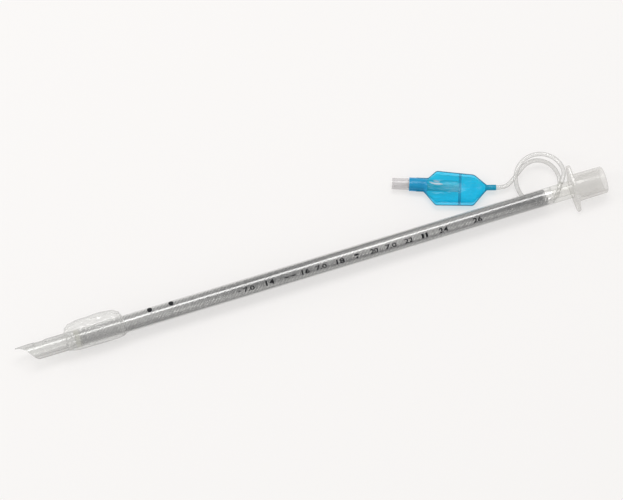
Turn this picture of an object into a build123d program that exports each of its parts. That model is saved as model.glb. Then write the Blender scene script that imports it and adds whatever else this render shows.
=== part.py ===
from build123d import *
from math import asin, cos, degrees, pi, radians, sin, tan
import os

# Reinforced, cuffed endotracheal tube lying at rest on a table. Millimetres.
# +X runs along the tube from the patient tip to the machine end, +Z is up, and the table is z = 0.
# The origin lies on the table under the middle of the tube, whose axis is straight and level.

# Tube wall, from the lumen outwards
lumen_diameter = 7.0
inner_layer = 0.6
wire_diameter = 0.45
outer_layer = 0.35

# Lengths along the tube, from the point of the bevel to the mouth of the connector
overall_length = 340.0
tip_length = 35.3
clear_length = 15.3
flange_thickness = 2.0
cone_length = 17.0

# Bevelled patient tip
bevel_length = 12.5
beak_height = 4.2
beak_turn = 25.0
nose_length = 9.0
nose_narrowing = 0.3
# the bevel's waist: (share of its length, share of the beak's height above the axis)
bevel_shoulder = (0.44, 0.45)
bevel_heel = (0.66, -0.42)
eye_length = 7.4
eye_width = 4.6
eye_distance = 13.6
# how far the bevel's cut starts and ends outside the wall
cut_overrun = 0.3

# Cuff: a thin film, leaning to the far side, with both collars turned inwards
cuff_offset = 7.7
cuff_length = 33.5
cuff_radius = 8.6
cuff_film = 0.35
cuff_lean = 2.0
collar_length = 3.0

# Inflation channel in the inner layer of the wall
channel_diameter = 0.4
port_diameter = 0.8
port_distance = 4.0

# Machine-end connector: 15 mm cone with a 1:40 taper, oval flange and stem
cone_end_diameter = 15.2
cone_taper = 1 / 40
connector_bore = 12.4
stem_bore = 5.4
stem_length = 12.0
stem_nose = 1.5
flange_radius = 8.5
ear_radius = 3.0
ear_distance = 10.5
mouth_round = 0.5
flange_edge_round = 0.6
bore_depth = 13.5

# Inflation line and the bonded boss that it leaves the tube by
line_diameter = 2.4
boss_wall = 0.4
boss_length = 4.5
exit_heading = 48.0
exit_before_flange = 5.6
exit_side = 3.5
exit_run = 5.2
stub_run = 3.6

# Pilot balloon: two welded sheets of film, with a neck round the valve and a stub round the line
pilot_heading = -20.66
stub_heading = -17.0
stub_end_before_flange = 39.0
stub_end_side = 15.6
pilot_film = 0.3
pilot_half_thickness = 3.8
seam_thickness = 0.5
seam_width = 2.0
neck_start = 9.6
neck_length = 10.6
neck_half_width = 4.05
body_length = 21.0
body_taper = 4.5
tail_taper = 7.0
body_far_left = 8.7
body_near_left = 11.9
body_far_right = 7.4
body_near_right = 11.2
# the puffed sections: (share of the body's length, share of the full half thickness)
pouch_sections = [(0.04, 0.98), (0.48, 0.98), (0.96, 0.93)]
stub_length = 5.5
stub_diameter = 3.2
stub_bore = 1.0

# Check valve in the neck of the pilot balloon
valve_diameter = 6.4
valve_body_length = 19.5
valve_tail_end = 37.5
luer_mouth_diameter = 4.3
luer_taper = 0.06
luer_depth = 7.5
seat_thickness = 1.5
seat_hole = 2.5
chamber_diameter = 4.6
spigot_length = 3.0
tail_bore = 2.5
stem_diameter = 1.6
stem_reach = 4.0
head_diameter = 3.8
head_thickness = 1.3
seal_thickness = 0.55
seal_gap = 0.05
spring_pin_diameter = 1.4
spring_pin_length = 2.5
spring_diameter = 3.3
spring_wire = 0.3
spring_turns = 5
spring_gap = 0.05
fit_clearance = 0.02

# Worked-out sizes of the tube
lumen_radius = lumen_diameter / 2
winding_inner_radius = lumen_radius + inner_layer
winding_outer_radius = winding_inner_radius + wire_diameter
tube_radius = winding_outer_radius + outer_layer
axis_height = flange_radius
x_tip = -overall_length / 2
x_end = overall_length / 2
x_cone = x_end - cone_length
x_flange = x_cone - flange_thickness
x_wire_end = x_flange - clear_length
x_joint = x_tip + tip_length
tube_axis = Axis((0, 0, axis_height), (1, 0, 0))
channel_radius = lumen_radius + inner_layer / 2


def across(x):
    """Plane square to the tube at x: its own x is +Y and its own y is +Z."""
    return Plane(origin=(x, 0, axis_height), x_dir=(0, 1, 0), z_dir=(1, 0, 0))


# Plane along the tube: its own x is +X and its own y is the distance above the axis
along = Plane(origin=(0, 0, axis_height), x_dir=(1, 0, 0), z_dir=(0, -1, 0))

# Where the inflation line leaves the boss, and the way it points there
exit_point = Vector(
    x_flange - exit_before_flange,
    exit_side,
    axis_height + ((tube_radius + line_diameter / 2) ** 2 - exit_side**2) ** 0.5,
)
exit_direction = Vector(cos(radians(exit_heading)), sin(radians(exit_heading)), 0)
boss_radius = line_diameter / 2 + boss_wall
boss_start = exit_point - exit_direction * boss_length

# Clear wall of the tube, with the winding's seat open at the tip end and closed at the machine end
with BuildPart() as tube_shaft:
    with BuildSketch(across(x_joint)):
        Circle(tube_radius)
    extrude(amount=x_flange - x_joint)
    with BuildSketch(Plane(origin=boss_start, z_dir=exit_direction)):
        Circle(boss_radius)
    extrude(amount=boss_length)
    with Locations(boss_start):
        Sphere(boss_radius)
    with BuildSketch(across(x_joint)):
        Circle(lumen_radius)
    extrude(amount=x_flange - x_joint, mode=Mode.SUBTRACT)
    with BuildSketch(across(x_joint)):
        Circle(winding_outer_radius)
        Circle(winding_inner_radius, mode=Mode.SUBTRACT)
    extrude(amount=x_wire_end - x_joint, mode=Mode.SUBTRACT)
    # inflation channel along the top of the inner layer, up into the boss and out to the line
    with BuildSketch(across(x_joint)):
        with Locations((0, channel_radius)):
            Circle(channel_diameter / 2)
    extrude(amount=boss_start.X - x_joint, mode=Mode.SUBTRACT)
    riser_foot = Vector(boss_start.X, 0, axis_height + channel_radius)
    with BuildSketch(Plane(origin=riser_foot)):
        Circle(channel_diameter / 2)
    extrude(amount=boss_start.Z - riser_foot.Z, mode=Mode.SUBTRACT)
    with BuildSketch(Plane(origin=boss_start, z_dir=exit_direction)):
        Circle(stub_bore / 2)
    extrude(amount=boss_length, mode=Mode.SUBTRACT)
tube_shaft.part.label = "tube_shaft"

# Outer form of the steel wire winding, which fills its seat in the wall
with BuildPart() as reinforcing_coil:
    with BuildSketch(across(x_joint)):
        Circle(winding_outer_radius)
        Circle(winding_inner_radius, mode=Mode.SUBTRACT)
    extrude(amount=x_wire_end - x_joint)
reinforcing_coil.part.label = "reinforcing_coil"

# Soft moulded tip: the beak stands on the far side, turned a little upwards, and the bevel faces near
beak_direction = Vector(0, cos(radians(beak_turn)), sin(radians(beak_turn)))
bevel_normal = Vector(1, 0, 0).cross(beak_direction)
bevel_plane = Plane(origin=(x_tip, 0, axis_height), x_dir=(1, 0, 0), z_dir=bevel_normal)
eye_plane = Plane(origin=(x_tip + eye_distance, 0, axis_height), x_dir=(1, 0, 0), z_dir=beak_direction)
with BuildPart() as flex_tip:
    with BuildSketch(along):
        with BuildLine():
            Polyline(
                (x_tip, tube_radius - nose_narrowing),
                (x_tip, lumen_radius),
                (x_joint, lumen_radius),
                (x_joint, tube_radius),
                (x_tip + nose_length, tube_radius),
            )
            TangentArc(
                (x_tip + nose_length, tube_radius),
                (x_tip, tube_radius - nose_narrowing),
                tangent=(-1, 0),
            )
        make_face()
    revolve(axis=tube_axis)
    with BuildSketch(bevel_plane):
        with BuildLine():
            Spline(
                (-cut_overrun, beak_height),
                (bevel_length * bevel_shoulder[0], beak_height * bevel_shoulder[1]),
                (bevel_length * bevel_heel[0], beak_height * bevel_heel[1]),
                (bevel_length, -tube_radius - cut_overrun),
            )
            Polyline(
                (bevel_length, -tube_radius - cut_overrun),
                (bevel_length, -2 * tube_radius),
                (-cut_overrun, -2 * tube_radius),
                (-cut_overrun, beak_height),
            )
        make_face()
    extrude(amount=2 * tube_radius, both=True, mode=Mode.SUBTRACT)
    with BuildSketch(eye_plane):
        SlotOverall(eye_length, eye_width)
    extrude(amount=2 * tube_radius, mode=Mode.SUBTRACT)
    # the end of the inflation channel, which opens under the cuff
    with BuildSketch(across(x_joint - port_distance)):
        with Locations((0, channel_radius)):
            Circle(channel_diameter / 2)
    extrude(amount=port_distance, mode=Mode.SUBTRACT)
    with BuildSketch(Plane(origin=(x_joint - port_distance, 0, axis_height + channel_radius))):
        Circle(port_diameter / 2)
    extrude(amount=tube_radius, mode=Mode.SUBTRACT)
flex_tip.part.label = "flex_tip"

# Cuff film: (distance from its tip end, height above the wall) as shares of its length and fullness
cuff_outline = [
    (0.0, 0.36),
    (0.03, 0.60),
    (0.11, 0.80),
    (0.27, 0.95),
    (0.50, 1.0),
    (0.72, 1.0),
    (0.86, 0.90),
    (0.955, 0.64),
    (1.0, 0.30),
]
x_cuff = x_tip + tip_length - cuff_offset


def cuff_body(inset, floor):
    """The cuff's full form with every face moved in by inset, and cut flat at height floor."""
    with BuildPart() as body:
        for share, fullness in cuff_outline:
            radius = tube_radius + fullness * (cuff_radius - tube_radius)
            x = x_cuff + inset + share * (cuff_length - 2 * inset)
            with BuildSketch(across(x)):
                with Locations((fullness * cuff_lean, 0)):
                    Circle(radius - inset)
        loft()
        split(bisect_by=Plane(origin=(0, 0, floor)), keep=Keep.TOP)
    return body.part


with BuildPart() as cuff:
    add(cuff_body(0, 0))
    add(cuff_body(cuff_film, cuff_film), mode=Mode.SUBTRACT)
    for x in (x_cuff, x_cuff + cuff_length - collar_length):
        with BuildSketch(across(x)):
            Circle(tube_radius + cuff_film)
        extrude(amount=collar_length)
    with BuildSketch(across(x_cuff)):
        Circle(tube_radius)
    extrude(amount=cuff_length, mode=Mode.SUBTRACT)
cuff.part.label = "cuff"

# Connector, one moulding: stem in the tube, oval flange and 15 mm cone, open right through
cone_end_radius = cone_end_diameter / 2
cone_root_radius = cone_end_radius + cone_length * cone_taper / 2
flange_roll = degrees(asin((flange_radius - ear_radius) / ear_distance))
stem_radius = lumen_radius - fit_clearance
with BuildPart() as connector:
    with BuildSketch(across(x_flange)):
        Circle(flange_radius)
        with PolarLocations(ear_distance, 2, start_angle=flange_roll):
            Circle(ear_radius)
        make_hull()
    extrude(amount=flange_thickness)
    flange_faces = connector.faces().sort_by(Axis.X)
    fillet(flange_faces[0].edges() + flange_faces[-1].edges(), flange_edge_round)
    with BuildSketch(along):
        Polygon(
            (x_flange - stem_length, 0),
            (x_flange - stem_length, stem_radius - stem_nose / 2),
            (x_flange - stem_length + stem_nose, stem_radius),
            (x_flange + flange_thickness / 2, stem_radius),
            (x_flange + flange_thickness / 2, cone_root_radius),
            (x_cone, cone_root_radius),
            (x_end, cone_end_radius),
            (x_end, 0),
            align=None,
        )
    revolve(axis=tube_axis)
    with BuildSketch(along):
        Polygon(
            (x_flange - stem_length, 0),
            (x_flange - stem_length, stem_bore / 2),
            (x_flange, stem_bore / 2),
            (x_end - bore_depth, connector_bore / 2),
            (x_end, connector_bore / 2),
            (x_end, 0),
            align=None,
        )
    revolve(axis=tube_axis, mode=Mode.SUBTRACT)
    mouth_edges = connector.edges().filter_by(GeomType.CIRCLE).group_by(Axis.X)[-1]
    fillet(mouth_edges, mouth_round)
connector.part.label = "connector"

# Pilot balloon's own directions: along it from the valve's mouth to the stub, and across it to the far side
pilot_along = Vector(cos(radians(pilot_heading)), sin(radians(pilot_heading)), 0)
pilot_across = Vector(0, 0, 1).cross(pilot_along)
stub_along = Vector(cos(radians(stub_heading)), sin(radians(stub_heading)), 0)
body_start = neck_start + neck_length
body_full = body_start + body_taper
body_end = body_full + body_length
tail_end = body_end + tail_taper
stub_end = Vector(x_flange - stub_end_before_flange, stub_end_side, pilot_half_thickness)
stub_start = stub_end - stub_along * stub_length
valve_mouth = stub_start - pilot_along * tail_end
stub_across = Vector(0, 0, 1).cross(stub_along)


def across_pilot(distance):
    """Plane square to the pilot balloon, its own x to the far side and its own y up."""
    return Plane(origin=valve_mouth + pilot_along * distance, x_dir=pilot_across, z_dir=pilot_along)


# Planes through the pilot balloon's axis: flat, and upright with its own y as the distance above the axis
pilot_flat = Plane(origin=valve_mouth, x_dir=pilot_along, z_dir=(0, 0, 1))
pilot_upright = Plane(origin=valve_mouth, x_dir=pilot_along, z_dir=-pilot_across)
pilot_axis = Axis(valve_mouth, pilot_along)
valve_radius = valve_diameter / 2
neck_radius = valve_radius + pilot_film


def pouch(inset):
    """The puffed-up part of the pilot balloon, its film moved in by inset; it ends square to the stub."""
    far_slope = (body_far_right - body_far_left) / body_length
    near_slope = (body_near_right - body_near_left) / body_length
    with BuildPart() as puffed:
        with BuildSketch(across_pilot(body_start)):
            Circle(neck_radius - inset)
        for share, fullness in pouch_sections:
            far = body_far_left + far_slope * share * body_length - seam_width - inset
            near = body_near_left + near_slope * share * body_length - seam_width - inset
            with BuildSketch(across_pilot(body_full + share * body_length)):
                with Locations(((far - near) / 2, 0)):
                    Ellipse((far + near) / 2, pilot_half_thickness * fullness - inset)
        with BuildSketch(Plane(origin=stub_start, x_dir=stub_across, z_dir=stub_along)):
            Circle(stub_diameter / 2 - inset)
        loft()
    return puffed.part


with BuildPart() as pilot_balloon:
    with BuildSketch(pilot_flat.offset(-seam_thickness / 2)):
        with BuildLine():
            Polyline(
                (neck_start, neck_half_width),
                (body_start, neck_half_width),
                (body_full, body_far_left),
                (body_end, body_far_right),
                (tail_end, stub_diameter / 2),
                (tail_end, -stub_diameter / 2),
                (body_end, -body_near_right),
                (body_full, -body_near_left),
                (body_start - body_taper / 2, -neck_half_width),
                (neck_start, -neck_half_width),
                close=True,
            )
        make_face()
    extrude(amount=seam_thickness)
    add(pouch(0))
    with BuildSketch(across_pilot(neck_start)):
        Circle(neck_radius)
    extrude(amount=neck_length)
    with BuildSketch(Plane(origin=stub_start, z_dir=stub_along)):
        Circle(stub_diameter / 2)
    extrude(amount=stub_length)
    add(pouch(pilot_film), mode=Mode.SUBTRACT)
    with BuildSketch(across_pilot(neck_start)):
        Circle(valve_radius)
    extrude(amount=neck_length, mode=Mode.SUBTRACT)
    with BuildSketch(Plane(origin=stub_start - stub_along * stub_diameter, z_dir=stub_along)):
        Circle(stub_bore / 2)
    extrude(amount=stub_length + stub_diameter, mode=Mode.SUBTRACT)
pilot_balloon.part.label = "pilot_balloon"

# Valve body: female Luer socket, seat and spring chamber
valve_fit_radius = valve_radius - fit_clearance
luer_foot_diameter = luer_mouth_diameter - luer_depth * luer_taper
seat_end = luer_depth + seat_thickness
with BuildPart() as valve_body:
    with BuildSketch(across_pilot(0)):
        Circle(valve_fit_radius)
    extrude(amount=valve_body_length)
    with BuildSketch(pilot_upright):
        Polygon(
            (0, 0),
            (0, luer_mouth_diameter / 2),
            (luer_depth, luer_foot_diameter / 2),
            (luer_depth, seat_hole / 2),
            (seat_end, seat_hole / 2),
            (seat_end, chamber_diameter / 2),
            (valve_body_length, chamber_diameter / 2),
            (valve_body_length, 0),
            align=None,
        )
    revolve(axis=pilot_axis, mode=Mode.SUBTRACT)
valve_body.part.label = "valve_body"

# Valve tail: a spigot that closes the chamber and carries the spring, and a tube into the balloon
spigot_start = valve_body_length - spigot_length
with BuildPart() as valve_tail:
    with BuildSketch(pilot_upright):
        Polygon(
            (spigot_start, tail_bore / 2),
            (spigot_start, chamber_diameter / 2 - fit_clearance),
            (valve_body_length, chamber_diameter / 2 - fit_clearance),
            (valve_body_length, valve_fit_radius),
            (valve_tail_end, valve_fit_radius),
            (valve_tail_end, tail_bore / 2),
            align=None,
        )
    revolve(axis=pilot_axis)
valve_tail.part.label = "valve_tail"

# Valve plunger: a stem that a syringe pushes, the head behind the seat and a pin inside the spring
seal_start = seat_end + seal_gap
head_start = seal_start + seal_thickness
head_end = head_start + head_thickness
with BuildPart() as valve_plunger:
    with BuildSketch(pilot_upright):
        Polygon(
            (seat_end - stem_reach, 0),
            (seat_end - stem_reach, stem_diameter / 2),
            (head_start, stem_diameter / 2),
            (head_start, head_diameter / 2),
            (head_end, head_diameter / 2),
            (head_end, spring_pin_diameter / 2),
            (head_end + spring_pin_length, spring_pin_diameter / 2),
            (head_end + spring_pin_length, 0),
            align=None,
        )
    revolve(axis=pilot_axis)
valve_plunger.part.label = "valve_plunger"

# Soft seal ring on the stem, between the head and the seat
with BuildPart() as valve_seal:
    with BuildSketch(across_pilot(seal_start)):
        Circle(head_diameter / 2)
        Circle(stem_diameter / 2 + fit_clearance, mode=Mode.SUBTRACT)
    extrude(amount=seal_thickness)
valve_seal.part.label = "valve_seal"

# Return spring, from the plunger's head to the spigot
coil_start = head_end + spring_gap + spring_wire / 2
coil_length = spigot_start - spring_gap - spring_wire / 2 - coil_start
coil_radius = (spring_diameter - spring_wire) / 2
with BuildPart() as valve_spring:
    with BuildLine():
        spring_path = Helix(
            pitch=coil_length / spring_turns,
            height=coil_length,
            radius=coil_radius,
            center=valve_mouth + pilot_along * coil_start,
            direction=pilot_along,
        )
    with BuildSketch(Plane(origin=spring_path @ 0, z_dir=spring_path % 0)):
        Circle(spring_wire / 2)
    sweep(path=spring_path, is_frenet=True)
valve_spring.part.label = "valve_spring"

# Inflation line's route from the boss, as offsets from the tube's axis at the flange's tip side, and heights
# above the table: once round in the air, back under the raised tube, half round again and down to the balloon
line_route = [
    (-1.2, 13.4, 12.4),
    (-3.6, 20.1, 11.4),
    (-9.0, 24.7, 10.6),
    (-16.0, 25.9, 9.9),
    (-22.6, 23.5, 9.1),
    (-27.2, 18.1, 7.8),
    (-28.4, 11.1, 5.3),
    (-26.3, 4.9, 2.6),
    (-21.6, 0.5, 1.35),
    (-15.3, -1.4, 1.3),
    (-8.8, 0.2, 1.4),
    (-4.6, 5.2, 2.0),
    (-2.9, 11.3, 3.0),
    (-4.2, 17.2, 4.2),
    (-8.1, 21.9, 5.3),
    (-13.8, 24.0, 5.9),
    (-19.2, 23.2, 5.8),
    (-24.1, 20.1, 5.0),
    (-28.1, 17.3, 4.2),
    (-32.0, 15.0, 3.8),
]
route = [exit_point, exit_point + exit_direction * exit_run]
route += [Vector(x_flange + x, y, z) for x, y, z in line_route]
route += [stub_end + stub_along * stub_run, stub_end]

arc_share = 0.45
runs = [(b - a).length for a, b in zip(route, route[1:])]
turns = [(b - a).get_angle(c - b) for a, b, c in zip(route, route[1:], route[2:])]
radii = [arc_share * min(pair) / tan(radians(turn / 2)) for pair, turn in zip(zip(runs, runs[1:]), turns)]
with BuildPart() as inflation_line:
    with BuildLine():
        line_path = FilletPolyline(*route, radius=radii)
    with BuildSketch(Plane(origin=exit_point, z_dir=line_path % 0)):
        Circle(line_diameter / 2)
    sweep(path=line_path)
inflation_line.part.label = "inflation_line"
line_length = line_path.length
print("line runs", [round(run, 1) for run in runs])
print("line radii", [round(radius, 1) for radius in radii])
print("line length", round(line_length, 1))
line_section = pi * line_diameter**2 / 4
print("line volume over section times length", inflation_line.part.volume / (line_section * line_length))

parts = [
    tube_shaft,
    reinforcing_coil,
    flex_tip,
    cuff,
    connector,
    inflation_line,
    pilot_balloon,
    valve_body,
    valve_tail,
    valve_plunger,
    valve_seal,
    valve_spring,
]
os.makedirs("parts", exist_ok=True)
for piece in parts:
    export_step(piece.part, f"parts/{piece.part.label}.step")
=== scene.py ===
import math

import bmesh
import bpy
from mathutils import Matrix, Vector, noise


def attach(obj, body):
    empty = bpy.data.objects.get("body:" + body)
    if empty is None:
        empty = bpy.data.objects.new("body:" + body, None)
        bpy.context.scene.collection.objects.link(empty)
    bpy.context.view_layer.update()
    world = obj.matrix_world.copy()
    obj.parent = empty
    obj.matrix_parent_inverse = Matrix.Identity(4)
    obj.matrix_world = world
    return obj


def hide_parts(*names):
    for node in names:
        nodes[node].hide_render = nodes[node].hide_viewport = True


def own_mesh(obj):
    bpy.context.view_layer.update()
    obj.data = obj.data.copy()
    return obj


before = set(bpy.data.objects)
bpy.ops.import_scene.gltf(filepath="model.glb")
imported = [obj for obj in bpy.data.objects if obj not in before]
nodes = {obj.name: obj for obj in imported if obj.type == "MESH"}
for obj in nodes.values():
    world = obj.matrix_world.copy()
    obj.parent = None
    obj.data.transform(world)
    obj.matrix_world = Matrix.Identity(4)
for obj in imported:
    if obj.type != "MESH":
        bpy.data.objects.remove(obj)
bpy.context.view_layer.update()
MM = 0.001


def mm(x, y, z):
    """A point given in millimetres of the shared frame, in metres."""
    return Vector((x, y, z)) * MM


def linked(name, data):
    """A new object for the data, in the scene."""
    obj = bpy.data.objects.new(name, data)
    bpy.context.scene.collection.objects.link(obj)
    return obj


# Sizes that the pieces share with the solids, in millimetres
AXIS_HEIGHT = 8.5
TUBE_RADIUS = 4.9
LUMEN_RADIUS = 3.5
WINDING_RADIUS = 4.325
WIRE_RADIUS = 0.225
WIRE_PITCH = 0.8
X_TIP = -170.0
X_JOINT = -134.7
X_WIRE_END = 135.7
X_STEM = 139.0
X_FLANGE = 151.0
X_CONE = 153.0
X_END = 170.0
LINE_RADIUS = 1.2
EXIT = (145.4, 3.5, 13.496)
EXIT_WAY = (math.cos(math.radians(48)), math.sin(math.radians(48)), 0.0)
PILOT_TURN = math.radians(-20.66)
PILOT_ALONG = Vector((math.cos(PILOT_TURN), math.sin(PILOT_TURN), 0))
PILOT_ACROSS = Vector((-PILOT_ALONG.y, PILOT_ALONG.x, 0))
VALVE_MOUTH = Vector((57.4294, 35.8017, 3.8))
STUB_START = Vector((106.740, 17.208, 3.8))
STUB_END = Vector((112.0, 15.6, 3.8))


# Shader maths, written as expressions
class Value:
    """A node's output. Arithmetic on it adds Math nodes to its tree."""

    def __init__(self, finish, socket):
        self.finish = finish
        self.socket = socket

    def maths(self, operation, *others):
        return self.finish.node("ShaderNodeMath", {"operation": operation}, [self, *others])

    def __add__(self, other):
        return self.maths("ADD", other)

    def __radd__(self, other):
        return self.maths("ADD", other)

    def __sub__(self, other):
        return self.maths("SUBTRACT", other)

    def __rsub__(self, other):
        return self.finish.node("ShaderNodeMath", {"operation": "SUBTRACT"}, [other, self])

    def __mul__(self, other):
        return self.maths("MULTIPLY", other)

    def __rmul__(self, other):
        return self.maths("MULTIPLY", other)

    def __pow__(self, other):
        return self.maths("POWER", other)

    def clamped(self, low=0.0, high=1.0):
        return self.maths("MAXIMUM", low).maths("MINIMUM", high)


class Finish:
    """A procedural material for one kind of surface."""

    def __init__(self, name):
        self.material = bpy.data.materials.new(name)
        self.material.use_nodes = True
        self.tree = self.material.node_tree
        self.tree.nodes.clear()

    def node(self, kind, settings=None, inputs=None, output=0):
        """A node of a type, with its settings and the values or links of its sockets."""
        made = self.tree.nodes.new(kind)
        for key, setting in (settings or {}).items():
            setattr(made, key, setting)
        pairs = inputs.items() if isinstance(inputs, dict) else enumerate(inputs or [])
        for key, value in pairs:
            if isinstance(value, Value):
                self.tree.links.new(value.socket, made.inputs[key])
            else:
                made.inputs[key].default_value = value
        return Value(self, made.outputs[output]) if made.outputs else None

    def place(self):
        return self.node("ShaderNodeTexCoord", output="Object")

    def noise(self, scale, detail=2.0, stretch=None, rough=0.5):
        place = self.place()
        if stretch:
            place = self.node("ShaderNodeMapping", {}, {"Vector": place, "Scale": stretch})
        return self.node(
            "ShaderNodeTexNoise",
            {},
            {"Vector": place, "Scale": scale, "Detail": detail, "Roughness": rough},
        )

    def blend(self, share, first, second):
        """A colour between two colours."""
        return self.node("ShaderNodeMix", {"data_type": "RGBA"}, {0: share, 6: first, 7: second}, 2)

    def either(self, share, first, second):
        """A shader between two shaders."""
        return self.node("ShaderNodeMixShader", {}, [share, first, second])

    def bump(self, height, distance, strength):
        return self.node(
            "ShaderNodeBump", {}, {"Height": height, "Distance": distance, "Strength": strength}
        )

    def zone(self, way, low, high, softness=0.0002):
        """1 between two distances along a way of the frame, in metres, and 0 beyond them."""
        distance = self.node(
            "ShaderNodeVectorMath", {"operation": "DOT_PRODUCT"}, [self.place(), tuple(way)], "Value"
        )
        off_centre = (distance - (low + high) / 2).maths("ABSOLUTE")
        return (((high - low) / 2 - off_centre) * (1 / softness)).clamped()

    def light_path(self, kind):
        return self.node("ShaderNodeLightPath", output=kind)

    def facing(self):
        """0 where the surface faces the eye and 1 where it is seen edge on."""
        return self.node("ShaderNodeLayerWeight", {}, {"Blend": 0.5}, "Facing")

    def plastic(self, **sockets):
        """A Principled shader, from its sockets' names with underscores for spaces."""
        named = {key.replace("_", " "): value for key, value in sockets.items()}
        return self.node("ShaderNodeBsdfPrincipled", {}, named)

    def done(self, shader):
        self.node("ShaderNodeOutputMaterial", {}, {"Surface": shader})
        return self.material


WHITE = (1, 1, 1, 1)
MOST_DENSE = 0.98
ZONE_STRENGTH = 0.7
BODY_DULLER = 0.15


def see_through(
    name, *, tint, body, rim, veil, edge, power, gloss, mirror, ripple=None, cloud=0.06, tone=None, zones=()
):
    """Clear plastic, denser towards its edges, where its colour also turns to rim, a painted edge shade.

    Its density is veil, plus edge where it is seen edge on, plus clouds. mirror is its reflection
    face on and what edge on adds. Each zone has a way, two distances, a colour and an added density.
    """
    finish = Finish(name)
    facing = finish.facing()
    clouds = finish.noise(420.0, 3.0)
    density = veil + edge * facing**power + (clouds - 0.5) * cloud
    # Painted shade: the colour darkens to rim where the surface is seen edge on, as clear plastic looks
    # darker at its edges
    colour = finish.blend(facing**2.0, tone(finish) if tone else body, rim)
    for way, low, high, zone_colour, added in zones:
        share = finish.zone(way, low, high)
        density = density + share * added
        colour = finish.blend(share * ZONE_STRENGTH, colour, zone_colour)
    relief = {"Normal": ripple(finish)} if ripple else {}
    clear = finish.node("ShaderNodeBsdfTransparent", {}, {"Color": tint})
    skin = finish.plastic(
        Base_Color=colour, Roughness=gloss + BODY_DULLER, Specular_IOR_Level=0.1, **relief
    )
    solid = finish.either(density.clamped(0.0, MOST_DENSE), clear, skin)
    reflected = (mirror[0] + mirror[1] * facing**5.0).clamped()
    shine = finish.node("ShaderNodeBsdfGlossy", {}, {"Color": WHITE, "Roughness": gloss, **relief})
    return finish.done(finish.either(reflected, solid, shine))


def wire_finish(name):
    """Drawn stainless wire, its tone uneven with fine drawing marks."""
    finish = Finish(name)
    marks = finish.noise(2600.0, 2.0, (0.2, 1.0, 1.0))
    colour = finish.blend(marks, (0.18, 0.18, 0.184, 1), (0.31, 0.31, 0.315, 1))
    return finish.done(finish.plastic(Base_Color=colour, Metallic=0.9, Roughness=0.28 + marks * 0.16))


def moulded(name, low, high, roughness):
    """Satin moulded plastic with a faint uneven tone and a fine skin."""
    finish = Finish(name)
    tone = finish.noise(90.0, 3.0)
    skin = finish.noise(900.0, 2.0)
    return finish.done(
        finish.plastic(
            Base_Color=finish.blend(tone, low, high),
            Roughness=roughness + (skin - 0.5) * 0.12,
            Normal=finish.bump(skin, 0.00003, 0.35),
        )
    )


def ink_finish(name):
    """Pad-printed ink, uneven where it is thin."""
    finish = Finish(name)
    worn = finish.noise(2400.0, 3.0)
    return finish.done(
        finish.plastic(
            Base_Color=finish.blend(worn, (0.008, 0.008, 0.010, 1), (0.035, 0.036, 0.040, 1)),
            Roughness=0.45 + worn * 0.2,
            Specular_IOR_Level=0.12,
        )
    )


def long_ripple(finish):
    """Faint streaks along a drawn tube."""
    streaks = finish.noise(700.0, 2.0, (0.03, 1.0, 1.0))
    return finish.bump(streaks, 0.00006, 0.12)


def crease_ripple(finish):
    """Fine creases of a thin film."""
    creases = finish.noise(330.0, 4.0, (0.35, 1.0, 1.0), 0.62)
    return finish.bump(creases, 0.0004, 0.55)


def pouch_ripple(finish):
    """Broad creases of a puffed film."""
    creases = finish.noise(210.0, 3.0, (0.5, 1.0, 1.0), 0.6)
    return finish.bump(creases, 0.0008, 0.7)


def pouch_tone(finish):
    """Blue film whose colour gathers unevenly, as the light pools in it."""
    pool = ((finish.noise(150.0, 3.0, (0.35, 1.0, 1.0)) - 0.5) * 2.4 + 0.5).clamped()
    return finish.blend(pool, (0.0, 0.20, 0.52, 1), (0.06, 0.70, 0.97, 1))


def tip_tone(finish):
    """Cloudy clear plastic."""
    pool = finish.noise(160.0, 3.0)
    return finish.blend(pool, (0.54, 0.54, 0.53, 1), (0.88, 0.88, 0.87, 1))


def streak_tone(finish):
    """Pale moulded plastic with streaks along it, as the light runs in it."""
    streaks = finish.noise(420.0, 3.0, (0.06, 1.0, 1.0))
    return finish.blend(streaks, (0.60, 0.60, 0.58, 1), (0.95, 0.94, 0.92, 1))


ALONG_X = (1, 0, 0)
PALE = (0.80, 0.80, 0.785, 1)
bond_zone = (ALONG_X, -0.1373, -0.1333, (0.62, 0.62, 0.53, 1), 0.20)
collar_zones = [(ALONG_X, -0.1424, -0.1392, PALE, 0.10), (ALONG_X, -0.1119, -0.1089, PALE, 0.10)]
stem_zone = (ALONG_X, 0.1385, 0.1506, (0.68, 0.73, 0.66, 1), -0.19)
valve_end_zone = (PILOT_ALONG, 0.0782, 0.0800, (0.0, 0.10, 0.24, 1), 0.30)
neck_zone = (PILOT_ALONG, 0.0500, 0.0608, (0.0, 0.31, 0.62, 1), 0.66)
stub_zone = (PILOT_ALONG, 0.0932, 0.1000, (0.0, 0.20, 0.32, 1), 0.36)
# In each clear finish below, rim is the colour of the painted edge shade where the surface is seen edge on
wall_clear = see_through(
    "wall_clear",
    tint=(0.985, 0.985, 0.98, 1),
    body=PALE,
    rim=(0.40, 0.40, 0.39, 1),
    veil=0.03,
    edge=0.50,
    power=3.0,
    gloss=0.13,
    mirror=(0.125, 0.35),
    ripple=long_ripple,
    zones=[bond_zone],
)
tip_clear = see_through(
    "tip_clear",
    tint=(0.965, 0.965, 0.96, 1),
    body=PALE,
    rim=(0.20, 0.20, 0.195, 1),
    veil=0.16,
    edge=0.78,
    power=1.6,
    gloss=0.13,
    mirror=(0.07, 0.10),
    ripple=long_ripple,
    cloud=0.2,
    tone=tip_tone,
    zones=[bond_zone],
)
cuff_clear = see_through(
    "cuff_clear",
    tint=(0.99, 0.99, 0.985, 1),
    body=(0.88, 0.88, 0.87, 1),
    rim=(0.46, 0.46, 0.45, 1),
    veil=0.12,
    edge=0.52,
    power=1.8,
    gloss=0.12,
    mirror=(0.05, 0.12),
    ripple=crease_ripple,
    cloud=0.22,
    zones=collar_zones,
)
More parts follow.
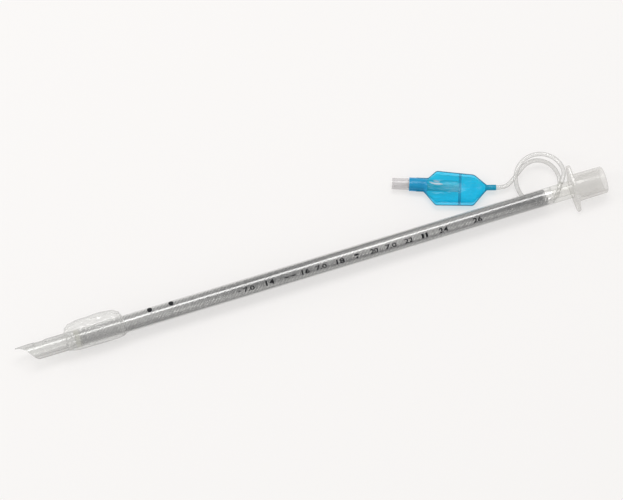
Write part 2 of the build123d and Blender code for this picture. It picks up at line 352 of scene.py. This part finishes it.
cone_clear = see_through(
    "cone_clear",
    tint=(0.98, 0.975, 0.97, 1),
    body=PALE,
    rim=(0.66, 0.65, 0.63, 1),
    veil=0.27,
    edge=0.36,
    power=2.4,
    gloss=0.14,
    mirror=(0.06, 0.12),
    ripple=long_ripple,
    cloud=0.08,
    tone=streak_tone,
    zones=[stem_zone],
)
line_clear = see_through(
    "line_clear",
    tint=(0.97, 0.97, 0.965, 1),
    body=(0.76, 0.75, 0.74, 1),
    rim=(0.34, 0.33, 0.325, 1),
    veil=0.30,
    edge=0.60,
    power=1.6,
    gloss=0.14,
    mirror=(0.06, 0.12),
    cloud=0.05,
)
pouch_blue = see_through(
    "pouch_blue",
    tint=(0.10, 0.83, 0.98, 1),
    body=(0.02, 0.36, 0.66, 1),
    rim=(0.0, 0.12, 0.22, 1),
    veil=0.12,
    edge=0.60,
    power=2.2,
    gloss=0.20,
    mirror=(0.020, 0.05),
    ripple=pouch_ripple,
    cloud=0.24,
    tone=pouch_tone,
    zones=[valve_end_zone, neck_zone, stub_zone],
)
valve_clear = see_through(
    "valve_clear",
    tint=(0.95, 0.94, 0.945, 1),
    body=(0.80, 0.785, 0.79, 1),
    rim=(0.48, 0.46, 0.47, 1),
    veil=0.36,
    edge=0.45,
    power=2.0,
    gloss=0.16,
    mirror=(0.05, 0.30),
    cloud=0.05,
)
weld_blue = moulded("weld_blue", (0.0, 0.15, 0.27, 1), (0.0, 0.26, 0.40, 1), 0.5)
steel_wire = wire_finish("steel_wire")
plunger_white = moulded("plunger_white", (0.78, 0.78, 0.76, 1), (0.88, 0.88, 0.86, 1), 0.42)
seal_grey = moulded("seal_grey", (0.06, 0.06, 0.065, 1), (0.11, 0.11, 0.115, 1), 0.7)
print_ink = ink_finish("print_ink")


# Mesh helpers
SHARP_EDGE = math.radians(40)


def piece(name, mesh, material, smooth=True):
    """An object of the finished mesh, riding on the tube."""
    obj = linked(name, mesh)
    mesh.materials.clear()
    mesh.materials.append(material)
    for face in mesh.polygons:
        face.use_smooth = smooth
    mesh.set_sharp_from_angle(angle=SHARP_EDGE)
    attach(obj, "tube")
    return obj


def closed_up(mesh, reach):
    """Joins points that lie within reach, in metres, and turns the faces outwards."""
    worked = bmesh.new()
    worked.from_mesh(mesh)
    bmesh.ops.remove_doubles(worked, verts=worked.verts, dist=reach)
    bmesh.ops.recalc_face_normals(worked, faces=worked.faces)
    worked.to_mesh(mesh)
    worked.free()
    return mesh


def mesh_of(name, points, faces):
    """A mesh of points given in millimetres."""
    mesh = bpy.data.meshes.new(name)
    mesh.from_pydata([tuple(point * MM) for point in points], [], faces)
    closed_up(mesh, 1e-7)
    mesh.update()
    return mesh


def loops_to_faces(loops, closed_ends=False):
    """Points and faces of a skin through rings of equal count; closed_ends joins the last to the first."""
    count = len(loops[0])
    points = [point for loop in loops for point in loop]
    rows = len(loops)
    faces = []
    for row in range(rows if closed_ends else rows - 1):
        after = (row + 1) % rows
        for k in range(count):
            step = (k + 1) % count
            faces.append((row * count + k, row * count + step, after * count + step, after * count + k))
    return points, faces


def turns(count):
    """Angles spread evenly round a circle."""
    return [2 * math.pi * k / count for k in range(count)]


def circle_at(x, radius, count):
    """A ring of points round the tube's axis at x."""
    return [
        Vector((x, radius * math.cos(turn), AXIS_HEIGHT + radius * math.sin(turn))) for turn in turns(count)
    ]


def filled(name, loops):
    """A closed solid through rings of equal count, with flat ends."""
    points, faces = loops_to_faces(loops)
    count = len(loops[0])
    faces.append(tuple(range(count))[::-1])
    faces.append(tuple(range(len(points) - count, len(points))))
    return mesh_of(name, points, faces)


def turned(name, profile, count=96):
    """A solid turned round the tube's axis, from (x, radius) pairs of its outline."""
    return filled(name, [circle_at(x, radius, count) for x, radius in profile])


def flat_mesh(obj):
    """A plain mesh of the object with its modifiers, in place."""
    bpy.context.view_layer.update()
    depsgraph = bpy.context.evaluated_depsgraph_get()
    made = bpy.data.meshes.new_from_object(obj.evaluated_get(depsgraph))
    made.transform(obj.matrix_world)
    return made


def joined(name, base, steps):
    """The base mesh after union or difference with other meshes."""
    holder = linked(name, base)
    tools = []
    for operation, mesh in steps:
        tool = linked(mesh.name, mesh)
        tools.append(tool)
        step = holder.modifiers.new(operation, "BOOLEAN")
        step.object = tool
        step.operation = operation
        step.solver = "EXACT"
    made = flat_mesh(holder)
    made.name = name
    for tool in tools + [holder]:
        bpy.data.objects.remove(tool)
    return made


# Wire winding, grown by Geometry Nodes from its pitch, radius and length
def winding_tree():
    """A node group that winds a wire along X, and the identifiers of its inputs."""
    tree = bpy.data.node_groups.new("wound_wire", "GeometryNodeTree")
    tree.interface.new_socket(name="Geometry", in_out="OUTPUT", socket_type="NodeSocketGeometry")
    ids = {}
    for label in ("Turns", "Coil Radius", "Length", "Wire Radius", "Start"):
        kind = "NodeSocketVector" if label == "Start" else "NodeSocketFloat"
        ids[label] = tree.interface.new_socket(name=label, in_out="INPUT", socket_type=kind).identifier
    put = tree.nodes.new
    inlet, outlet = put("NodeGroupInput"), put("NodeGroupOutput")
    spiral, ring = put("GeometryNodeCurveSpiral"), put("GeometryNodeCurvePrimitiveCircle")
    skin, laid = put("GeometryNodeCurveToMesh"), put("GeometryNodeTransform")
    smooth, real = put("GeometryNodeSetShadeSmooth"), put("GeometryNodeRealizeInstances")
    coat = put("GeometryNodeSetMaterial")
    spiral.inputs["Resolution"].default_value = 30
    ring.inputs["Resolution"].default_value = 6
    skin.inputs["Fill Caps"].default_value = True
    laid.inputs["Rotation"].default_value = (0, math.pi / 2, 0)
    coat.inputs["Material"].default_value = steel_wire
    for source, output, target, socket in (
        (inlet, "Turns", spiral, "Rotations"),
        (inlet, "Coil Radius", spiral, "Start Radius"),
        (inlet, "Coil Radius", spiral, "End Radius"),
        (inlet, "Length", spiral, "Height"),
        (inlet, "Wire Radius", ring, "Radius"),
        (inlet, "Start", laid, "Translation"),
        (spiral, "Curve", skin, "Curve"),
        (ring, "Curve", skin, "Profile Curve"),
        (skin, "Mesh", laid, "Geometry"),
        (laid, "Geometry", smooth, "Geometry"),
        (smooth, "Geometry", real, "Geometry"),
        (real, "Geometry", coat, "Geometry"),
        (coat, "Geometry", outlet, "Geometry"),
    ):
        tree.links.new(source.outputs[output], target.inputs[socket])
    return tree, ids


def wound(name, turn_count, coil_radius, length, wire_radius, start):
    """A wound wire as a plain mesh. Sizes in millimetres."""
    tree, ids = winding_tree()
    host = linked(name + "_host", bpy.data.meshes.new(name + "_host"))
    grow = host.modifiers.new("grow", "NODES")
    grow.node_group = tree
    grow[ids["Turns"]] = float(turn_count)
    grow[ids["Coil Radius"]] = coil_radius * MM
    grow[ids["Length"]] = length * MM
    grow[ids["Wire Radius"]] = wire_radius * MM
    grow[ids["Start"]] = tuple(mm(*start))
    made = flat_mesh(host)
    made.name = name
    bpy.data.objects.remove(host)
    return closed_up(made, 1e-8)


winding_length = X_WIRE_END - X_JOINT - 2 * WIRE_RADIUS
winding_mesh = wound(
    "wire_winding",
    winding_length / WIRE_PITCH,
    WINDING_RADIUS,
    winding_length,
    WIRE_RADIUS,
    (X_JOINT + WIRE_RADIUS, 0, AXIS_HEIGHT),
)
winding = piece("wire_winding", winding_mesh, steel_wire)
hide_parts("reinforcing_coil")

# Clear wall, from the soft tip to the connector's stem
X_WALL_END = X_STEM - 0.02
wall_profile = [
    (X_JOINT, LUMEN_RADIUS),
    (X_JOINT, TUBE_RADIUS),
    (X_WALL_END, TUBE_RADIUS),
    (X_WALL_END, LUMEN_RADIUS),
]
wall_loops = [circle_at(x, radius, 96) for x, radius in wall_profile]
wall_mesh = mesh_of("tube_wall", *loops_to_faces(wall_loops, closed_ends=True))
wall = piece("tube_wall", wall_mesh, wall_clear)
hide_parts("tube_shaft")

# Machine end: connector, with the wall bonded round its stem and the boss of the inflation line
exit_point, exit_way = Vector(EXIT), Vector(EXIT_WAY)
side_way = Vector((-exit_way.y, exit_way.x, 0))
up_way = Vector((0, 0, 1))
FLANGE_DISC = 8.5
EAR_DISC = 3.0
EAR_DISTANCE = 10.5
FLANGE_ROLL = math.asin((FLANGE_DISC - EAR_DISC) / EAR_DISTANCE)


def ring_across(centre, radius, count, side=side_way):
    """A ring of points in the upright plane that holds the side way."""
    return [
        centre + (side * math.cos(turn) + up_way * math.sin(turn)) * radius for turn in turns(count)
    ]


def flange_ring(x, inset, count=160):
    """The oval outline of the flange, drawn in by inset: the hull round its disc and its two ears."""
    ear = (EAR_DISTANCE * math.cos(FLANGE_ROLL), EAR_DISTANCE * math.sin(FLANGE_ROLL))
    discs = [(0.0, 0.0, FLANGE_DISC), (ear[0], ear[1], EAR_DISC), (-ear[0], -ear[1], EAR_DISC)]
    ring = []
    for k in range(count):
        turn = 2 * math.pi * (k + 0.5) / count
        side, rise = math.cos(turn), math.sin(turn)
        reach = [y * side + z * rise + radius for y, z, radius in discs]
        y, z, radius = discs[reach.index(max(reach))]
        ring.append(Vector((x, y + (radius - inset) * side, AXIS_HEIGHT + z + (radius - inset) * rise)))
    return ring


cone_outline = [
    (X_STEM, TUBE_RADIUS),
    (X_FLANGE + 0.8, TUBE_RADIUS),
    (X_FLANGE + 1.2, 7.81),
    (X_CONE, 7.8125),
    (X_END - 0.5, 7.606),
    (X_END - 0.32, 7.57),
    (X_END - 0.15, 7.46),
    (X_END - 0.04, 7.29),
    (X_END, 7.1),
]
bore_outline = [
    (X_STEM - 1.0, 2.7),
    (X_FLANGE, 2.7),
    (X_END - 13.5, 6.2),
    (X_END - 0.5, 6.2),
    (X_END - 0.15, 6.35),
    (X_END, 6.7),
    (X_END + 1.0, 6.7),
]
FLANGE_THICKNESS = 2.0
flange_half = [(0.0, 0.6), (0.05, 0.35), (0.18, 0.18), (0.35, 0.05), (0.6, 0.0)]
flange_outline = flange_half + [(FLANGE_THICKNESS - x, inset) for x, inset in flange_half[::-1]]
boss_outline = [
    (-6.0, 0.02),
    (-5.9, 0.5),
    (-5.5, 1.05),
    (-4.9, 1.42),
    (-4.2, 1.58),
    (-1.2, 1.58),
    (-0.3, 1.5),
    (0.0, 1.3),
]
flange_rings = [flange_ring(X_FLANGE + x, inset) for x, inset in flange_outline]
boss_rings = [ring_across(exit_point + exit_way * along, radius, 40) for along, radius in boss_outline]
end_mesh = joined(
    "machine_end",
    turned("machine_end_base", cone_outline),
    [
        ("UNION", filled("flange_tool", flange_rings)),
        ("UNION", filled("boss_tool", boss_rings)),
        ("DIFFERENCE", turned("bore_tool", bore_outline)),
    ],
)
machine_end = piece("machine_end", end_mesh, cone_clear)
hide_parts("connector")


# Cuff: a thin film gathered at both collars, creased, and resting on the table
CUFF_START = -142.4
CUFF_LENGTH = 33.5
CUFF_LEAN = 2.0
CUFF_RADIUS = 8.6
CUFF_ROWS = 120
CUFF_AROUND = 260
GATHERED_SHARE = 0.30
PLEAT_DEPTH = 0.10
COLLAR_PLEAT_DEPTH = 0.55
WRINKLE_DEPTH = 0.55
FILM_ROOM = 0.10
FILM_LIFT = 0.12
CUFF_TABLE_GAP = 0.06
cuff_shape = [
    (0.0, 0.10),
    (0.035, 0.52),
    (0.11, 0.80),
    (0.27, 0.95),
    (0.50, 1.0),
    (0.72, 1.0),
    (0.86, 0.90),
    (0.955, 0.62),
    (1.0, 0.08),
]
# Each pleat: waves round the cuff, how far noise shifts them, their weight and where their noise starts
cuff_pleats = [(17, 3.0, 0.55, 0), (31, 5.0, 0.35, 9)]
# Each dent: its turn and share of the length, its reach in each, and its depth in millimetres
cuff_dents = [(1.15, 0.62, 0.22, 0.10, 1.2), (2.2, 0.16, 0.18, 0.08, 0.9)]


def between(table, share):
    """A smooth reading between the pairs of a table."""
    for (a, low), (b, high) in zip(table, table[1:]):
        if share <= b:
            t = (share - a) / (b - a)
            t = t * t * (3 - 2 * t)
            return low + (high - low) * t
    return table[-1][1]


def on_cuff(turn, share, around, along):
    """A place to read noise at, the same again after a whole turn."""
    return Vector((math.cos(turn) * around, math.sin(turn) * around, share * along))


def cuff_sink(turn, share, fullness):
    """How far the film sinks below its full radius, by pleats at the collars, wrinkles and dents."""
    seed = on_cuff(turn, share, 1.7, 2.2)
    pleat = 0.0
    for waves, shift, weight, start in cuff_pleats:
        pleat += math.sin(waves * turn + shift * noise.noise(seed + Vector((start, 0, 0)))) * weight
    gathered = 1 - min(1.0, min(share, 1 - share) / GATHERED_SHARE)
    wrinkle = noise.fractal(on_cuff(turn, share, 3.2, 3.4), 0.7, 2.2, 4)
    sink = (PLEAT_DEPTH + COLLAR_PLEAT_DEPTH * gathered) * (0.5 + 0.5 * pleat)
    sink += WRINKLE_DEPTH * (0.45 + wrinkle * 0.6) * min(1.0, fullness * 1.3)
    for at_turn, at_share, wide, long, depth in cuff_dents:
        sink += math.exp(-(((turn - at_turn) / wide) ** 2 + ((share - at_share) / long) ** 2)) * depth
    return sink


cuff_loops = []
for row in range(CUFF_ROWS + 1):
    share = row / CUFF_ROWS
    fullness = between(cuff_shape, share)
    room = fullness * (CUFF_RADIUS - TUBE_RADIUS)
    x = CUFF_START + CUFF_LENGTH * (0.004 + 0.992 * share)
    ring = []
    for turn in turns(CUFF_AROUND):
        sink = max(0.0, min(cuff_sink(turn, share, fullness), room - FILM_ROOM))
        radius = TUBE_RADIUS + max(FILM_LIFT, room - sink)
        y = fullness * CUFF_LEAN + radius * math.cos(turn)
        z = AXIS_HEIGHT + radius * math.sin(turn)
        ring.append(Vector((x, y, max(z, CUFF_TABLE_GAP))))
    cuff_loops.append(ring)
cuff_mesh = mesh_of("cuff_film", *loops_to_faces(cuff_loops))
cuff_film = piece("cuff_film", cuff_mesh, cuff_clear)
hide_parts("cuff")

# Print: dots, depth numbers and dashes, wrapped round the wall
PRINT_TURN = math.radians(122.5)
DOT_TURN = math.radians(60.0)
INK_TOP = 0.03
INK_FOOT = -0.02
STRIP_WIDTH = 0.3


def printed(name, flat, distance, turn_centre):
    """A piece of thin ink from a flat closed mesh in millimetres, cut into strips and wrapped round the wall.

    Its middle is a distance from the tip. Its x runs along the tube, and its y goes up and over.
    """
    worked = bmesh.new()
    worked.from_mesh(flat)
    reach = max(abs(vertex.co.y) for vertex in worked.verts)
    cuts = int(reach / STRIP_WIDTH)
    for k in range(-cuts, cuts + 1):
        everything = worked.verts[:] + worked.edges[:] + worked.faces[:]
        bmesh.ops.bisect_plane(
            worked, geom=everything, dist=1e-5, plane_co=(0, k * STRIP_WIDTH, 0), plane_no=(0, 1, 0)
        )
    for vertex in worked.verts:
        turn = turn_centre - vertex.co.y / TUBE_RADIUS
        radius = TUBE_RADIUS + vertex.co.z
        along = X_TIP + distance + vertex.co.x
        vertex.co = mm(along, radius * math.cos(turn), AXIS_HEIGHT + radius * math.sin(turn))
    bmesh.ops.remove_doubles(worked, verts=worked.verts, dist=2e-6)
    bmesh.ops.recalc_face_normals(worked, faces=worked.faces)
    worked.to_mesh(flat)
    worked.free()
    piece(name, flat, print_ink, smooth=False)


def plates(outlines):
    """A flat mesh of thin closed plates, one for each outline."""
    points, faces = [], []
    for outline in outlines:
        base = len(points)
        count = len(outline)
        points += [(x, y, INK_TOP) for x, y in outline] + [(x, y, INK_FOOT) for x, y in outline]
        faces.append(tuple(range(base, base + count)))
        faces.append(tuple(range(base + 2 * count - 1, base + count - 1, -1)))
        for k in range(count):
            step = (k + 1) % count
            faces.append((base + k, base + count + k, base + count + step, base + step))
    flat = bpy.data.meshes.new("plates")
    flat.from_pydata(points, [], faces)
    return flat


def digits(text, height, width):
    """A flat mesh of plain digits, as thin closed plates."""
    words = bpy.data.curves.new("digits", "FONT")
    words.body = text
    words.size = 1.0
    words.offset = 0.02
    words.extrude = 0.01
    words.resolution_u = 3
    holder = linked("digits", words)
    flat = flat_mesh(holder)
    bpy.data.objects.remove(holder)
    xs = [vertex.co.x for vertex in flat.vertices]
    ys = [vertex.co.y for vertex in flat.vertices]
    for vertex in flat.vertices:
        x, y, z = vertex.co
        vertex.co = (
            ((x - min(xs)) / (max(xs) - min(xs)) - 0.5) * width,
            ((y - min(ys)) / (max(ys) - min(ys)) - 0.5) * height,
            INK_TOP if z > 0 else INK_FOOT,
        )
    return flat


def oval(along, around, count=32):
    """An oval outline, from its two half sizes."""
    return [(along * math.cos(turn), around * math.sin(turn)) for turn in turns(count)]


def bar(x0, x1, y0, y1):
    """A rectangular outline."""
    return [(x0, y0), (x1, y0), (x1, y1), (x0, y1)]


for number, distance in enumerate((76.2, 88.5), 1):
    printed(f"guide_dot_{number}", plates([oval(1.4, 1.9)]), distance, DOT_TURN)
depth_spans = [
    (14, 141.4, 146.2),
    (16, 162.1, 166.6),
    (18, 182.1, 186.8),
    (20, 201.8, 206.3),
    (22, 221.7, 226.4),
    (24, 241.7, 247.0),
    (26, 261.7, 266.9),
]
for depth, start, end in depth_spans:
    printed(f"depth_{depth}", digits(str(depth), 2.8, end - start), (start + end) / 2, PRINT_TURN)
for number, (start, end) in enumerate(((128.6, 134.8), (170.2, 176.4), (210.6, 217.0)), 1):
    printed(f"bore_size_{number}", digits("7.0", 2.5, end - start), (start + end) / 2, PRINT_TURN)
dashes = [
    (126.0, [bar(-0.9, 0.9, -0.25, 0.25)]),
    (153.4, [bar(-1.3, 1.3, -0.3, 0.2)]),
    (157.2, [bar(-1.4, 1.4, -0.3, 0.2)]),
    (194.0, [bar(-1.3, 1.3, 0.35, 1.3), bar(-0.45, 0.45, -1.35, -0.2)]),
    (232.3, [bar(-0.7, 0.7, -1.3, 1.3)]),
    (234.6, [bar(-0.7, 0.7, -1.3, 1.3)]),
]
for number, (distance, outlines) in enumerate(dashes, 1):
    printed(f"print_dash_{number}", plates(outlines), distance, PRINT_TURN)


# Pilot balloon: two sheets of film welded along the rim, round the valve and round the line
NECK_START = 9.6
STUB_FOOT = 52.7
POUCH_END = 58.2
NECK_HALF = 4.05
STUB_HALF = 1.65
POUCH_ROWS = 150
SHEET_POINTS = 56
SHEET_GAP = 0.10
POUCH_TABLE_GAP = 0.05
CREASE_DEPTH = 0.55
FOLD_DEPTH = 0.55
FOLD_PLACES = (24.0, 46.5)
FOLD_REACH = 7.0
stub_ends = [(STUB_FOOT, STUB_HALF), (POUCH_END, STUB_HALF)]
far_edge = [(NECK_START, NECK_HALF), (20.2, NECK_HALF), (24.7, 8.7), (45.7, 7.4)] + stub_ends
near_edge = [(NECK_START, NECK_HALF), (17.95, NECK_HALF), (24.7, 11.9), (45.7, 11.2)] + stub_ends
puff = [
    (NECK_START, 3.5),
    (19.6, 3.5),
    (25.5, 3.7),
    (35.0, 3.7),
    (44.8, 3.5),
    (49.6, 2.6),
    (52.9, 1.6),
    (POUCH_END, 1.6),
]
weld = [(NECK_START, 0.5), (19.6, 0.55), (24.7, 1.9), (45.7, 1.9), (51.5, 0.35), (POUCH_END, 0.05)]


def pilot_point(along, across, height):
    """A place given along and across the pilot balloon, from the valve's mouth."""
    return VALVE_MOUTH + PILOT_ALONG * along + PILOT_ACROSS * across + up_way * height


def straight(table, at):
    """A reading of a table along straight lines."""
    for (a, low), (b, high) in zip(table, table[1:]):
        if at <= b:
            return low + (high - low) * max(0.0, at - a) / (b - a)
    return table[-1][1]


def rounded(table, at, reach=0.7):
    """A reading of a table whose corners are rounded over a short reach."""
    first, last = table[0][0], table[-1][0]
    readings = [straight(table, min(max(at + reach * k / 3, first), last)) for k in range(-3, 4)]
    return sum(readings) / len(readings)


def held(value):
    """The value kept between 0 and 1."""
    return min(1.0, max(0.0, value))


def sheet_height(along, across, sheet, inner, half):
    """How far a sheet stands off the middle: arched between its welds, creased, and folded near its ends."""
    arch = max(0.0, 1 - (across / inner) ** 2) ** 0.5
    puffed = held((along - 19.0) / 5.0) * held((50.5 - along) / 4.0)
    crease = noise.fractal(Vector((along * 0.11, across * 0.22, 3.0 * sheet)), 0.6, 2.1, 4) * 0.5 + 0.5
    shift = 1.5 * noise.noise(Vector((along * 0.12, across * 0.1, 5.0)))
    fold_distance = min(abs(along - place) for place in FOLD_PLACES)
    fold = abs(math.sin(across * 1.35 + shift)) * max(0.0, 1 - fold_distance / FOLD_REACH)
    height = half * arch - puffed * arch * (CREASE_DEPTH * crease + FOLD_DEPTH * fold)
    return max(height, SHEET_GAP)


pouch_loops = []
stub_turn = math.radians(-17.0) - PILOT_TURN
swing = Matrix.Rotation(stub_turn, 3, "Z")
for row in range(POUCH_ROWS + 1):
    along = NECK_START + (POUCH_END - NECK_START) * row / POUCH_ROWS
    far, near = rounded(far_edge, along), rounded(near_edge, along)
    half, rim = rounded(puff, along), rounded(weld, along, 1.2)
    middle = (far - near) / 2
    width = (far + near) / 2
    ring = []
    for sheet in (1, -1):
        for k in range(SHEET_POINTS):
            across = math.cos(math.pi * (k + 0.5 * (sheet < 0)) / SHEET_POINTS) * sheet * width
            height = sheet_height(along, across, sheet, width - rim, half)
            place = pilot_point(along, middle + across, sheet * height)
            if along > STUB_FOOT:
                place = STUB_START + swing @ (place - pilot_point(STUB_FOOT, 0, 0))
            place.z = max(place.z, POUCH_TABLE_GAP)
            ring.append(place)
    pouch_loops.append(ring)
pouch_mesh = mesh_of("pilot_film", *loops_to_faces(pouch_loops))
pouch = piece("pilot_film", pouch_mesh, pouch_blue)
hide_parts("pilot_balloon")

# Bead of the weld, squeezed out along the rim of the two sheets
BEAD_RADIUS = 0.27
BEAD_STEPS = 120
BEAD_START = NECK_START + 4.0
bead_distances = [BEAD_START + (STUB_FOOT - BEAD_START) * step / BEAD_STEPS for step in range(BEAD_STEPS + 1)]
for side, edge, sign in (("far", far_edge, 1), ("near", near_edge, -1)):
    path = [pilot_point(at, sign * (rounded(edge, at) - 0.1), 0) for at in bead_distances]
    bead_loops = []
    for k, place in enumerate(path):
        way = (path[min(k + 1, BEAD_STEPS)] - path[max(k - 1, 0)]).normalized()
        bead_loops.append(ring_across(place, BEAD_RADIUS, 8, Vector((-way.y, way.x, 0))))
    piece(f"weld_bead_{side}", filled(f"weld_bead_{side}", bead_loops), weld_blue)

# Inflation line, looped twice beside the machine end, on the same route as its solid
line_offsets = [
    (-1.2, 13.4, 12.4),
    (-3.6, 20.1, 11.4),
    (-9.0, 24.7, 10.6),
    (-16.0, 25.9, 9.9),
    (-22.6, 23.5, 9.1),
    (-27.2, 18.1, 7.8),
    (-28.4, 11.1, 5.3),
    (-26.3, 4.9, 2.6),
    (-21.6, 0.5, 1.35),
    (-15.3, -1.4, 1.3),
    (-8.8, 0.2, 1.4),
    (-4.6, 5.2, 2.0),
    (-2.9, 11.3, 3.0),
    (-4.2, 17.2, 4.2),
    (-8.1, 21.9, 5.3),
    (-13.8, 24.0, 5.9),
    (-19.2, 23.2, 5.8),
    (-24.1, 20.1, 5.0),
    (-28.1, 17.3, 4.2),
    (-32.0, 15.0, 3.8),
]
LINE_FIRST_REACH = 5.2
LINE_LAST_REACH = 3.6
stub_way = (STUB_END - STUB_START).normalized()
line_route = [exit_point, exit_point + exit_way * LINE_FIRST_REACH]
line_route += [Vector((X_FLANGE + x, y, z)) for x, y, z in line_offsets]
line_route += [STUB_END + stub_way * LINE_LAST_REACH, STUB_END]
line_curve = bpy.data.curves.new("inflation_tubing", "CURVE")
line_curve.dimensions = "3D"
line_curve.bevel_depth = LINE_RADIUS * MM
line_curve.bevel_resolution = 6
line_curve.resolution_u = 12
line_curve.use_fill_caps = True
spline = line_curve.splines.new("NURBS")
spline.points.add(len(line_route) - 1)
for point, place in zip(spline.points, line_route):
    point.co = (*(place * MM), 1)
spline.order_u = 3
spline.use_endpoint_u = True
line_curve.materials.append(line_clear)
line = linked("inflation_tubing", line_curve)
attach(line, "tube")
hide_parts("inflation_line")

# Return spring of the valve, as one fixed mesh; the real spring shortens with the plunger's travel
SPRING_TURNS = 5
SPRING_RADIUS = 1.5
SPRING_WIRE_RADIUS = 0.15
SPRING_START = 11.1
SPRING_LENGTH = 5.2
spring_mesh = wound(
    "return_spring", SPRING_TURNS, SPRING_RADIUS, SPRING_LENGTH, SPRING_WIRE_RADIUS, (0, 0, 0)
)
spring_place = Matrix.Translation((VALVE_MOUTH + PILOT_ALONG * SPRING_START) * MM)
spring_mesh.transform(spring_place @ Matrix.Rotation(PILOT_TURN, 4, "Z"))
spring = piece("return_spring", spring_mesh, steel_wire)
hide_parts("valve_spring")
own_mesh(spring)

# Finishes of the parts that keep their solids
for node, material in (
    ("flex_tip", tip_clear),
    ("valve_body", valve_clear),
    ("valve_tail", valve_clear),
    ("valve_plunger", plunger_white),
    ("valve_seal", seal_grey),
):
    nodes[node].data.materials.clear()
    nodes[node].data.materials.append(material)

# Floor: lit as paper, and paler where a camera, glossy or transmission ray sees it
FLOOR_HALF = 6
floor_corners = [(-1, -1), (1, -1), (1, 1), (-1, 1)]
floor_mesh = bpy.data.meshes.new("floor")
floor_mesh.from_pydata([(FLOOR_HALF * x, FLOOR_HALF * y, 0) for x, y in floor_corners], [], [(0, 1, 2, 3)])
floor = linked("floor", floor_mesh)
floor_finish = Finish("pale_floor")
seen = floor_finish.light_path("Is Camera Ray") + floor_finish.light_path("Is Glossy Ray")
seen = (seen + floor_finish.light_path("Is Transmission Ray")).clamped()
paper = floor_finish.plastic(Base_Color=(0.93, 0.915, 0.905, 1), Roughness=0.9, Specular_IOR_Level=0.1)
lit_paper = floor_finish.plastic(
    Base_Color=(0.385, 0.378, 0.374, 1),
    Roughness=0.9,
    Specular_IOR_Level=0.1,
    Emission_Color=(1.0, 0.985, 0.975, 1),
    Emission_Strength=0.55,
)
floor_mesh.materials.append(floor_finish.done(floor_finish.either(seen, paper, lit_paper)))

# World: plain white
world = bpy.data.worlds.new("studio")
bpy.context.scene.world = world
world.use_nodes = True
sky = world.node_tree.nodes["Background"]
sky.inputs["Color"].default_value = (1, 0.995, 0.985, 1)
sky.inputs["Strength"].default_value = 0.66


# Lamps
def turned_to(obj, way):
    """Turns a lamp or camera to look along a way."""
    obj.rotation_mode = "QUATERNION"
    obj.rotation_quaternion = way.to_track_quat("-Z", "Y")


def lamp(name, place, aim, width, height, power, colour=(1, 1, 1)):
    """A rectangular lamp at a place, in metres, that shines at its aim."""
    light = bpy.data.lights.new(name, "AREA")
    light.shape = "RECTANGLE"
    light.size, light.size_y = width, height
    light.energy = power
    light.color = colour
    holder = linked(name, light)
    holder.location = place
    turned_to(holder, Vector(aim) - Vector(place))


lamp("key_lamp", (0.16, 0.47, 1.30), (0.16, 0, 0), 0.80, 0.52, 5.9, (1, 0.99, 0.98))
lamp("left_lamp", (-1.2, 0.3, 0.9), (0, 0, 0), 0.5, 0.5, 4.0)

# Camera, turned and tilted as in the photograph
CAMERA_TURN = math.radians(17.90)
CAMERA_TILT = math.radians(69.0)
CAMERA_DISTANCE = 1.6
CAMERA_AIM = (2.77, 13.08, 0)
look = Vector(
    (
        math.sin(CAMERA_TURN) * math.cos(CAMERA_TILT),
        math.cos(CAMERA_TURN) * math.cos(CAMERA_TILT),
        -math.sin(CAMERA_TILT),
    )
)
camera_data = bpy.data.cameras.new("camera")
camera_data.lens = 166.34
camera_data.sensor_width = 36.0
camera_data.clip_start = 0.05
camera = linked("camera", camera_data)
camera.location = mm(*CAMERA_AIM) - look * CAMERA_DISTANCE
turned_to(camera, look)
bpy.context.scene.camera = camera
bpy.context.scene.view_settings.view_transform = "Standard"
